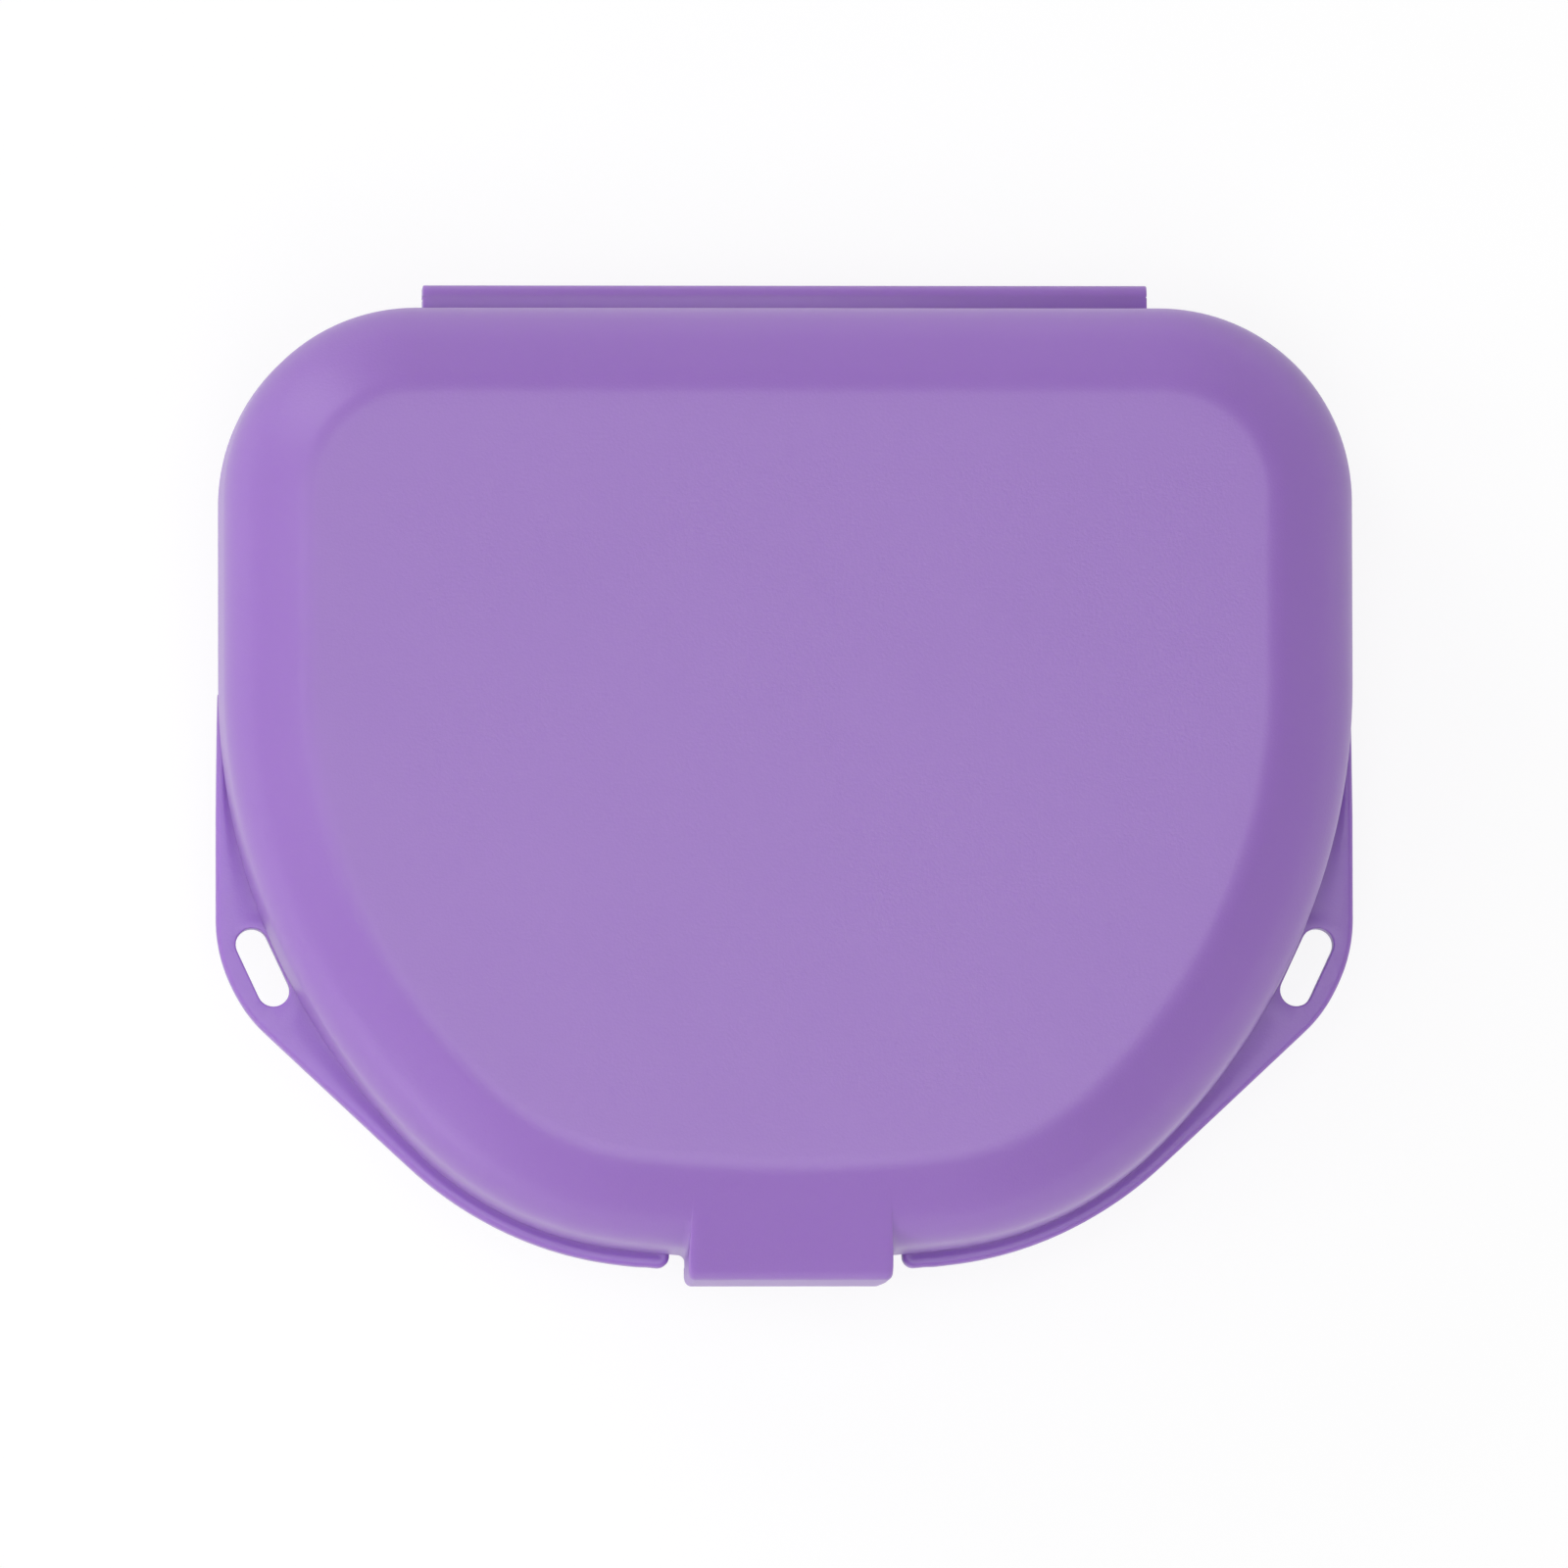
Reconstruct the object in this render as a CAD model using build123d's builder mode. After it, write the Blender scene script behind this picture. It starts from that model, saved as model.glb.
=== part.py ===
from build123d import *
from math import cos, radians, sin, tan
import os

# Retainer case: a D-shaped box of two shallow shells, moulded with its hinge and latch in one shot.
# Sizes are millimetres. The closed case stands on Z = 0, its latch faces -Y and its hinge lies at +Y.

# Body outline, seen from above
body_width = 79.2
body_depth = 66.35
rear_corner_radius = 13.7
side_curve_radius = 45.0
side_curve_angle = 46.9
front_corner_radius = 24.4
front_corner_angle = 36.2

# Shells, seen from the side
tray_height = 12.5
lid_height = 12.5
wall = 1.5
draft = 2.5
edge_radius = 6.8

# Tongue round the tray's rim, and the rebate in the lid that drops over it
rim_seat = 0.7
tongue_height = 1.4
tongue_clearance = 0.1
tongue_headroom = 0.15
tongue_chamfer = 0.2

# Lanyard flange round the front half of the tray
flange_width = 0.97
ear_projection = 0.15
flange_top_below_rim = 0.3
flange_thickness = 2.2
flange_floor = 1.75
flange_lip = 0.5
recess_slope = 40.0
flange_edge_radius = 0.35
flange_bottom_chamfer = 0.25
flange_end_radius = 0.8
ear_corner_radius = 10.5
latch_notch_width = 16.3

# Slot through each ear, beside the tray's wall and in line with it
slot_length = 5.8
slot_width = 2.26
slot_to_wall = 0.1
slot_angle = 25.0
slot_pad = 0.6

# Hinge: two thin films with a strap between them, closed here
hinge_width = 50.6
hinge_flange_length = 0.85
hinge_flange_thickness = 2.0
film_thickness = 0.35
film_outer_radius = 0.85
strap_thickness = 0.7
strap_chamfer = 0.15

# Latch on the lid: a sloped root, a bending neck at the rim and a tab with a hook
latch_width = 14.25
latch_projection = 1.7
latch_slope = 28.0
latch_sink = 0.05
latch_top_radius = 1.4
latch_corner_radius = 0.5
latch_root_radius = 0.5
latch_plate = 1.2
latch_pocket_height = 6.0
latch_pocket_side = 1.3
latch_reach = 5.5
latch_tip_radius = 0.5
neck_height = 0.6
neck_thickness = 0.8
hook_width = 10.0
hook_depth = 0.5
hook_height = 1.1
hook_ramp = 0.6

# Ridge on the tray's front wall, which the hook snaps under
ridge_overhang = 0.5
ridge_height = 1.0
ridge_ramp = 0.8
ridge_below_rim = 2.1
ridge_to_plate = 0.15
ridge_to_hook = 0.1

# Tolerance for picking edges by their place
near = 0.01

# Levels and reference lines
rim_z = tray_height
rim_plane = Plane.XY.offset(rim_z)
top_z = tray_height + lid_height
half_width = body_width / 2
hinge_projection = hinge_flange_length + film_outer_radius
overall_depth = hinge_projection + body_depth + latch_projection
rear_y = overall_depth / 2 - hinge_projection
front_y = rear_y - body_depth
flange_top_z = rim_z - flange_top_below_rim
flange_bottom_z = flange_top_z - flange_thickness

# Centres of the arcs that round the front of the body, each tangent to the next
front_turn = side_curve_angle + front_corner_angle
side_turn_x = cos(radians(side_curve_angle))
side_turn_y = sin(radians(side_curve_angle))
side_centre_x = half_width - side_curve_radius
front_corner_x = side_centre_x + (side_curve_radius - front_corner_radius) * side_turn_x
front_radius = front_corner_radius + front_corner_x / cos(radians(front_turn))
front_centre_y = front_y + front_radius
front_corner_y = front_centre_y - (front_radius - front_corner_radius) * sin(radians(front_turn))
side_centre_y = front_corner_y + (side_curve_radius - front_corner_radius) * side_turn_y


# The body's outline as a face, drawn inside itself by the inset
def body_outline(inset):
    with BuildSketch() as outline:
        with BuildLine():
            front = JernArc((0, front_y + inset), (1, 0), front_radius - inset, 90 - front_turn)
            corner = JernArc(front @ 1, front % 1, front_corner_radius - inset, front_corner_angle)
            curve = JernArc(corner @ 1, corner % 1, side_curve_radius - inset, side_curve_angle)
            side = Line(curve @ 1, (half_width - inset, rear_y - rear_corner_radius))
            rear_corner = JernArc(side @ 1, (0, 1), rear_corner_radius - inset, 90)
            Line(rear_corner @ 1, (0, rear_y - inset))
            mirror(about=Plane.YZ)
        make_face()
    return outline.sketch


# A closed shell's form above the rim: drafted walls that run into a rounded top edge
def shell_form(height, inset):
    with BuildPart() as form:
        with BuildSketch(Plane.XY.offset(rim_z)):
            add(body_outline(inset))
        extrude(amount=height - inset, taper=draft)
        fillet(edges().group_by(Axis.Z)[-1], edge_radius - inset)
    return form.part


lid_form = shell_form(lid_height, 0)
lid_hollow = shell_form(lid_height, wall)
tray_form = mirror(shell_form(tray_height, 0), about=rim_plane, mode=Mode.PRIVATE)
tray_hollow = mirror(shell_form(tray_height, wall), about=rim_plane, mode=Mode.PRIVATE)

# Tray
with BuildPart() as base_tray:
    add(tray_form)
    add(tray_hollow, mode=Mode.SUBTRACT)

# Tongue that stands on the inner half of the tray's rim and centres the lid
with BuildPart() as locating_tongue:
    with BuildSketch(rim_plane):
        add(body_outline(rim_seat + tongue_clearance))
        add(body_outline(wall), mode=Mode.SUBTRACT)
    extrude(amount=tongue_height)
    chamfer(edges().group_by(Axis.Z)[-1], tongue_chamfer)

# The flange's straight run between its front arc and its ear, tangent to both
flange_half_width = half_width + ear_projection
ear_run_start_x = front_corner_x + (front_corner_radius + flange_width) * side_turn_x
ear_arc_reach = ear_corner_radius * (1 - side_turn_x)
ear_run = (flange_half_width - ear_arc_reach - ear_run_start_x) / side_turn_y


# The right half of the flange's outline, filled in to the body's middle
def flange_outline(inset):
    spread = flange_width - inset
    with BuildSketch() as outline:
        with BuildLine():
            front = JernArc((0, front_y - spread), (1, 0), front_radius + spread, 90 - front_turn)
            corner = JernArc(front @ 1, front % 1, front_corner_radius + spread, front_corner_angle)
            run = Line(corner @ 1, corner @ 1 + (corner % 1) * ear_run)
            ear = JernArc(run @ 1, run % 1, ear_corner_radius - inset, side_curve_angle)
            Polyline(
                ear @ 1,
                (flange_half_width - inset, side_centre_y),
                (0, side_centre_y),
                (0, front_y - spread),
            )
        make_face()
        with Locations((0, front_y)):
            Rectangle(latch_notch_width + 2 * inset, 2 * front_radius, mode=Mode.SUBTRACT)
    return outline.sketch


# Where the slot's middle lies, outside the curve of the body's side
slot_centre_radius = side_curve_radius + slot_to_wall + slot_width / 2
slot_centre_x = side_centre_x + slot_centre_radius * cos(radians(slot_angle))
slot_centre_y = side_centre_y - slot_centre_radius * sin(radians(slot_angle))
slot_turn = 90 - slot_angle

# How far the recess's sloped sides run in from its top to its floor, and the pad's length at that floor
recess_run = (flange_thickness - flange_floor) * tan(radians(recess_slope))
pad_length = slot_length + 2 * (slot_pad + recess_run)

# Lanyard flanges: a floor with a raised lip, a pad across it at the slot, and a notch for the latch
with BuildPart() as right_lanyard_flange:
    with BuildSketch(Plane.XY.offset(flange_bottom_z)):
        add(flange_outline(0))
        fillet(vertices().sort_by(Axis.Y)[0], flange_end_radius)
    extrude(amount=flange_thickness)
    fillet(edges().group_by(Axis.Z)[-1], flange_edge_radius)
    chamfer(edges().group_by(Axis.Z)[0], flange_bottom_chamfer)
    with BuildSketch(Plane.XY.offset(flange_bottom_z + flange_floor)):
        add(flange_outline(flange_lip + recess_run))
        with Locations((slot_centre_x, slot_centre_y)):
            Rectangle(pad_length, ear_corner_radius, rotation=slot_turn, mode=Mode.SUBTRACT)
    extrude(amount=flange_thickness - flange_floor, taper=-recess_slope, mode=Mode.SUBTRACT)
    with BuildSketch(Plane.XY.offset(flange_bottom_z)):
        with Locations((slot_centre_x, slot_centre_y)):
            SlotOverall(slot_length, slot_width, rotation=slot_turn)
    extrude(amount=flange_thickness, mode=Mode.SUBTRACT)
    add(tray_form, mode=Mode.SUBTRACT)

with BuildPart() as left_lanyard_flange:
    mirror(right_lanyard_flange.part, about=Plane.YZ)

# Levels of the latch, from its face inwards and from the rim down
latch_face_y = front_y - latch_projection
latch_inner_y = latch_face_y + latch_plate
neck_bottom_z = rim_z - neck_height
latch_bottom_z = rim_z - latch_reach
ridge_bottom_z = rim_z - ridge_below_rim - ridge_height
ridge_top_z = ridge_bottom_z + ridge_height
ridge_tip_y = latch_inner_y + ridge_to_plate
hook_top_z = ridge_bottom_z - ridge_to_hook
hook_bottom_z = hook_top_z - hook_height
hook_tip_y = latch_inner_y + hook_depth

# Ridge, a little wider than the hook
with BuildPart() as catch_ridge:
    with BuildSketch(Plane.YZ):
        with BuildLine():
            Polyline(
                (front_y + wall, ridge_bottom_z),
                (ridge_tip_y, ridge_bottom_z),
                (ridge_tip_y, ridge_top_z),
                (front_y, ridge_top_z + ridge_ramp),
                (front_y + wall, ridge_top_z + ridge_ramp),
                close=True,
            )
        make_face()
    extrude(amount=hook_width / 2 + ridge_overhang, both=True)
    add(tray_form, mode=Mode.SUBTRACT)

# Hinge levels: both flanges end on one plane, and the strap stands beyond them
hinge_bottom_z = rim_z - hinge_flange_thickness
hinge_top_z = rim_z + hinge_flange_thickness
flange_end_y = rear_y + hinge_flange_length
strap_outer_y = flange_end_y + film_outer_radius
strap_bottom_z = hinge_bottom_z + film_outer_radius
strap_top_z = hinge_top_z - film_outer_radius

# Hinge flanges of the tray and the lid
with BuildPart() as base_hinge_flange:
    with BuildSketch(Plane.XY.offset(hinge_bottom_z)):
        with Locations((0, flange_end_y)):
            Rectangle(hinge_width, hinge_flange_length + wall, align=(Align.CENTER, Align.MAX))
    extrude(amount=hinge_flange_thickness)
    add(tray_form, mode=Mode.SUBTRACT)

with BuildPart() as lid_hinge_flange:
    with BuildSketch(rim_plane):
        with Locations((0, flange_end_y)):
            Rectangle(hinge_width, hinge_flange_length + wall, align=(Align.CENTER, Align.MAX))
    extrude(amount=hinge_flange_thickness)
    add(lid_form, mode=Mode.SUBTRACT)

# Strap
with BuildPart() as hinge_strap:
    with BuildSketch(Plane.XY.offset(strap_bottom_z)):
        with Locations((0, strap_outer_y)):
            Rectangle(hinge_width, strap_thickness, align=(Align.CENTER, Align.MAX))
    extrude(amount=strap_top_z - strap_bottom_z)
    chamfer(edges().filter_by(Axis.X).group_by(Axis.Y)[0], strap_chamfer)


# A film's section, a quarter ring about its centre, seen along X
def film_section(centre_z, start_angle):
    centre = (flange_end_y, centre_z)
    with BuildSketch() as section:
        with BuildLine():
            outer = CenterArc(centre, film_outer_radius, start_angle, 90)
            inner = CenterArc(centre, film_outer_radius - film_thickness, start_angle, 90)
            Line(outer @ 0, inner @ 0)
            Line(outer @ 1, inner @ 1)
        make_face()
    return section.sketch


# Films, bent a quarter turn in the closed case
with BuildPart() as lower_fold_film:
    with BuildSketch(Plane.YZ):
        add(film_section(strap_bottom_z, -90))
    extrude(amount=hinge_width / 2, both=True)

with BuildPart() as upper_fold_film:
    with BuildSketch(Plane.YZ):
        add(film_section(strap_top_z, 0))
    extrude(amount=hinge_width / 2, both=True)

# Where the latch's sloped top leaves the lid's rounded edge, on the middle line
edge_centre_z = top_z - edge_radius
drafted_reach = edge_radius + (edge_centre_z - rim_z) * sin(radians(draft))
edge_centre_y = front_y + drafted_reach / cos(radians(draft))
slope_start_y = edge_centre_y - edge_radius * sin(radians(latch_slope))
slope_start_z = edge_centre_z + edge_radius * cos(radians(latch_slope)) - latch_sink
slope_end_z = slope_start_z - (slope_start_y - latch_face_y) * tan(radians(latch_slope))

# Root of the latch, with a pocket behind its plate that is open at the rim
with BuildPart() as latch_root:
    with BuildSketch(Plane.YZ):
        with BuildLine():
            Polyline(
                (slope_start_y, slope_start_z),
                (latch_face_y, slope_end_z),
                (latch_face_y, rim_z),
                (slope_start_y, rim_z),
                close=True,
            )
        make_face()
        fillet(vertices().group_by(Axis.X)[0].sort_by(Axis.Y)[-1], latch_top_radius)
    extrude(amount=latch_width / 2, both=True)
    side_edges = faces().filter_by(Axis.X).edges()
    fillet(
        side_edges.filter_by(lambda edge: edge.center().Z > rim_z + near).filter_by(
            lambda edge: edge.center().Y < slope_start_y - near
        ),
        latch_corner_radius,
    )
    with BuildSketch(rim_plane):
        with Locations((0, latch_inner_y)):
            Rectangle(
                latch_width - 2 * latch_pocket_side, wall + latch_projection, align=(Align.CENTER, Align.MIN)
            )
    extrude(amount=latch_pocket_height, mode=Mode.SUBTRACT)

# Lid: the latch's root grows out of its front wall, and a rebate clears the tongue
with BuildPart() as lid_shell:
    add(lid_form)
    add(latch_root.part)
    root_edges = new_edges(lid_form, latch_root.part, combined=lid_shell.part)
    fillet(
        root_edges.filter_by(lambda edge: abs(edge.center().X) > latch_width / 2 - near),
        latch_root_radius,
    )
    add(lid_hollow, mode=Mode.SUBTRACT)
    with BuildSketch(rim_plane):
        add(body_outline(rim_seat))
    extrude(amount=tongue_height + tongue_headroom, mode=Mode.SUBTRACT)


# The latch plate's section, seen from above, with its face at the front
def latch_section(thickness):
    with BuildSketch() as section:
        with Locations((0, latch_face_y)):
            Rectangle(latch_width, thickness, align=(Align.CENTER, Align.MIN))
        fillet(vertices().group_by(Axis.Y)[0], latch_corner_radius)
    return section.sketch


# Neck, which bends when the latch is lifted
with BuildPart() as latch_neck:
    with BuildSketch(Plane.XY.offset(neck_bottom_z)):
        add(latch_section(neck_thickness))
    extrude(amount=neck_height)

# Tab with its hook, its sides drawn in towards the tip by the draft
tip_inset = (neck_bottom_z - latch_bottom_z) * tan(radians(draft))
with BuildPart() as latch_tab:
    with BuildSketch(Plane.XZ.offset(-latch_inner_y)):
        with BuildLine():
            Polyline(
                (0, neck_bottom_z),
                (latch_width / 2, neck_bottom_z),
                (latch_width / 2 - tip_inset, latch_bottom_z),
                (0, latch_bottom_z),
            )
            mirror(about=Plane.YZ)
        make_face()
    extrude(amount=latch_plate)
    fillet(edges().group_by(Axis.Y)[0].filter_by(Axis.X, reverse=True), latch_corner_radius)
    fillet(edges().group_by(Axis.Z)[0], latch_tip_radius)
    with BuildSketch(Plane.YZ):
        with BuildLine():
            Polyline(
                (latch_inner_y - latch_plate / 2, hook_top_z),
                (hook_tip_y, hook_top_z),
                (hook_tip_y, hook_bottom_z),
                (latch_inner_y, hook_bottom_z - hook_ramp),
                (latch_inner_y - latch_plate / 2, hook_bottom_z - hook_ramp),
                close=True,
            )
        make_face()
    extrude(amount=hook_width / 2, both=True)

nodes = {
    "base_tray": base_tray,
    "locating_tongue": locating_tongue,
    "left_lanyard_flange": left_lanyard_flange,
    "right_lanyard_flange": right_lanyard_flange,
    "catch_ridge": catch_ridge,
    "base_hinge_flange": base_hinge_flange,
    "hinge_strap": hinge_strap,
    "lower_fold_film": lower_fold_film,
    "upper_fold_film": upper_fold_film,
    "lid_shell": lid_shell,
    "lid_hinge_flange": lid_hinge_flange,
    "latch_neck": latch_neck,
    "latch_tab": latch_tab,
}

os.makedirs("parts", exist_ok=True)
for name, node in nodes.items():
    node.part.label = name
    export_step(node.part, f"parts/{name}.step")
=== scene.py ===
import bpy
import bmesh
import math
import numpy as np
from mathutils import Matrix, Vector


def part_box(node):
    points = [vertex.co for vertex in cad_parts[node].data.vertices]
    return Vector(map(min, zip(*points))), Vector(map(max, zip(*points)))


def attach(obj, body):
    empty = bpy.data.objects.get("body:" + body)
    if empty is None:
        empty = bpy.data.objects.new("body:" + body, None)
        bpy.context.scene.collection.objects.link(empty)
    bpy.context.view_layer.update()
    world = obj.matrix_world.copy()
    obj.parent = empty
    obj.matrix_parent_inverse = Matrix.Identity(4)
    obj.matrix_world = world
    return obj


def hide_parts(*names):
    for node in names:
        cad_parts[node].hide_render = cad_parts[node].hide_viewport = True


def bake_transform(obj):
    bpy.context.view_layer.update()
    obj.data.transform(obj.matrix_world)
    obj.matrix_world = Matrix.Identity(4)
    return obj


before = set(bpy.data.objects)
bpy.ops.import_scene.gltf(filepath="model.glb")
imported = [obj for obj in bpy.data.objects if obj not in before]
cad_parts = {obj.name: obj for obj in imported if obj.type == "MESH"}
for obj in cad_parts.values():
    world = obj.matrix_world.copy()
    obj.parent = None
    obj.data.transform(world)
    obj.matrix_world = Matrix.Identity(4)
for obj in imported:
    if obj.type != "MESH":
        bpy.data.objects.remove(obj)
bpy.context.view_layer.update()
trayLow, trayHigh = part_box("base_tray")
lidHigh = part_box("lid_shell")[1]
tabLow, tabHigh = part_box("latch_tab")
strapLow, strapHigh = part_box("hinge_strap")
print("frame loaded")

samePoint = 0.000002
nearZero = 1e-15
sharpAngle = 32.0
bevelSteps = 3


# Nodes: numbers as expressions, and one call for every other node

class Wire:  # one output of a node
    def __init__(self, board, socket):
        self.board = board
        self.socket = socket

    def output(self, key):
        return Wire(self.board, self.socket.node.outputs[key])

    def __add__(self, other):
        return self.board.maths("ADD", self, other)

    def __radd__(self, other):
        return self.board.maths("ADD", other, self)

    def __sub__(self, other):
        return self.board.maths("SUBTRACT", self, other)

    def __rsub__(self, other):
        return self.board.maths("SUBTRACT", other, self)

    def __mul__(self, other):
        return self.board.maths("MULTIPLY", self, other)

    def __rmul__(self, other):
        return self.board.maths("MULTIPLY", other, self)


class Board:  # a node tree while it is wired
    def __init__(self, tree):
        self.tree = tree

    def node(self, kind, settings=None, values=None):
        made = self.tree.nodes.new(kind)
        for key, value in (settings or {}).items():
            if key == "items":
                while len(made.index_switch_items) < value:
                    made.index_switch_items.new()
            else:
                setattr(made, key, value)
        for key, value in (values or {}).items():
            if isinstance(value, Wire):
                self.tree.links.new(value.socket, made.inputs[key])
            else:
                made.inputs[key].default_value = value
        return Wire(self, made.outputs[0]) if made.outputs else None

    def maths(self, operation, first, second):
        return self.node("ShaderNodeMath", {"operation": operation}, {0: first, 1: second})


# Camera: nearly straight above, a long lens, a little from the left and the front

cameraSizes = {
    "place": (-0.0614274, -0.0863197, 1.5087611),
    "target": (-0.0000761, 0.0000585, 0.0125075),
    "roll": -0.13,
    "lens": 493.0,
    "sensor": 36.0,
}


def addCamera(sizes):
    data = bpy.data.cameras.new("camera")
    data.lens = sizes["lens"]
    data.sensor_width = sizes["sensor"]
    camera = bpy.data.objects.new("camera", data)
    bpy.context.scene.collection.objects.link(camera)
    back = (Vector(sizes["place"]) - Vector(sizes["target"])).normalized()
    level = Vector((0, 1, 0)).cross(back).normalized()
    ahead = back.cross(level)
    roll = math.radians(sizes["roll"])
    side = math.cos(roll) * level + math.sin(roll) * ahead
    turn = Matrix((side, back.cross(side), back)).transposed().to_4x4()
    camera.matrix_world = Matrix.Translation(sizes["place"]) @ turn
    bpy.context.scene.camera = camera


addCamera(cameraSizes)
print("camera placed")


# Finishes

plasticTone = {
    "pale": (0.354, 0.189, 0.585, 1),
    "deep": (0.328, 0.169, 0.559, 1),
    "cloudScale": 45.0,
    "cloudDetail": 3.0,
    "grainScale": 5200.0,
    "grainDetail": 2.0,
    "grainHeight": 0.000012,
    "rippleScale": 130.0,
    "rippleDetail": 1.0,
    "rippleHeight": 0.00004,
    "roughness": (0.34, 0.42),
    "grainShare": 0.7,
    "refraction": 1.49,
    "depthShare": 0.3,
    "depthScale": 0.001,
    "depthRadius": (1.0, 0.6, 1.3),
}


def satinPlastic(name, tone):
    material = bpy.data.materials.new(name)
    material.use_nodes = True
    material.node_tree.nodes.clear()
    board = Board(material.node_tree)
    place = board.node("ShaderNodeTexCoord").output("Object")
    noises = []
    for kind in ("cloud", "grain", "ripple"):
        noises.append(board.node("ShaderNodeTexNoise", {}, {
            "Vector": place, "Scale": tone[kind + "Scale"], "Detail": tone[kind + "Detail"]}))
    cloud, grain, ripple = noises
    colour = board.node("ShaderNodeMix", {"data_type": "RGBA"}, {0: cloud, 6: tone["deep"], 7: tone["pale"]})
    low, high = tone["roughness"]
    rough = low + (high - low) * (tone["grainShare"] * grain + (1 - tone["grainShare"]) * cloud)
    height = grain * tone["grainHeight"] + ripple * tone["rippleHeight"]
    normal = board.node("ShaderNodeBump", {}, {"Strength": 1.0, "Distance": 1.0, "Height": height})
    shader = board.node("ShaderNodeBsdfPrincipled", {}, {
        "Base Color": colour.output(2), "Roughness": rough, "IOR": tone["refraction"],
        "Subsurface Weight": tone["depthShare"], "Subsurface Scale": tone["depthScale"],
        "Subsurface Radius": tone["depthRadius"], "Normal": normal})
    board.node("ShaderNodeOutputMaterial", {}, {"Surface": shader})
    return material


polypropylene = satinPlastic("satinPolypropylene", plasticTone)
print("finishes made")


# Outline of the case seen from above, from the middle of the front round to the middle of the rear

outlineSizes = {
    "halfWidth": trayHigh.x,
    "rearY": trayHigh.y,
    "frontY": trayLow.y,
    "frontRadius": 0.09661,
    "frontTurn": 6.9,
    "cornerRadius": 0.0244,
    "cornerTurn": 43.1,
    "sideRadius": 0.045,
    "rearRadius": 0.0137,
    "cornerSteps": 18,
    "sideSteps": 28,
    "rearSteps": 36,
    "straightSteps": 8,
    "backSteps": 12,
}


def outlineArcs(sizes):
    front = np.array((0, sizes["frontY"] + sizes["frontRadius"]))
    first = math.radians(sizes["frontTurn"])
    second = math.radians(sizes["cornerTurn"])
    towards = np.array((math.sin(first), -math.cos(first)))
    corner = front + (sizes["frontRadius"] - sizes["cornerRadius"]) * towards
    towards = np.array((math.sin(second), -math.cos(second)))
    side = corner + (sizes["cornerRadius"] - sizes["sideRadius"]) * towards
    rear = np.array((sizes["halfWidth"] - sizes["rearRadius"], sizes["rearY"] - sizes["rearRadius"]))
    return front, corner, side, rear


def outlineLoop(sizes, frontPlaces):
    front, corner, side, rear = outlineArcs(sizes)
    points = []
    for x in frontPlaces:
        points.append((x, front[1] - math.sqrt(sizes["frontRadius"] ** 2 - x * x)))
    runs = (
        (corner, sizes["cornerRadius"], sizes["frontTurn"], sizes["cornerTurn"], sizes["cornerSteps"]),
        (side, sizes["sideRadius"], sizes["cornerTurn"], 90.0, sizes["sideSteps"]),
        (rear, sizes["rearRadius"], 90.0, 180.0, sizes["rearSteps"]),
    )
    straight, back = sizes["straightSteps"], sizes["backSteps"]
    for centre, radius, start, end, steps in runs:
        for step in range(steps + 1):
            angle = math.radians(start + (end - start) * step / steps)
            points.append(tuple(centre + radius * np.array((math.sin(angle), -math.cos(angle)))))
        if radius == sizes["sideRadius"]:
            for step in range(1, straight):
                points.append((sizes["halfWidth"], side[1] + (rear[1] - side[1]) * step / straight))
    for step in range(1, back + 1):
        points.append((rear[0] * (1 - step / back), sizes["rearY"]))
    half = [points[0]]
    for point in points[1:]:
        if math.dist(point, half[-1]) > 5 * samePoint:
            half.append(point)
    return half + [(-x, y) for x, y in half[-2:0:-1]]


def addCurve(name, points):
    data = bpy.data.curves.new(name, "CURVE")
    data.dimensions = "3D"
    spline = data.splines.new("POLY")
    spline.points.add(len(points) - 1)
    for point, (x, y) in zip(spline.points, points):
        point.co = (x, y, 0, 1)
    spline.use_cyclic_u = True
    made = bpy.data.objects.new(name, data)
    bpy.context.scene.collection.objects.link(made)
    return made


# Sweep: a section of straight runs with rounded corners, carried round the outline

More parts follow.
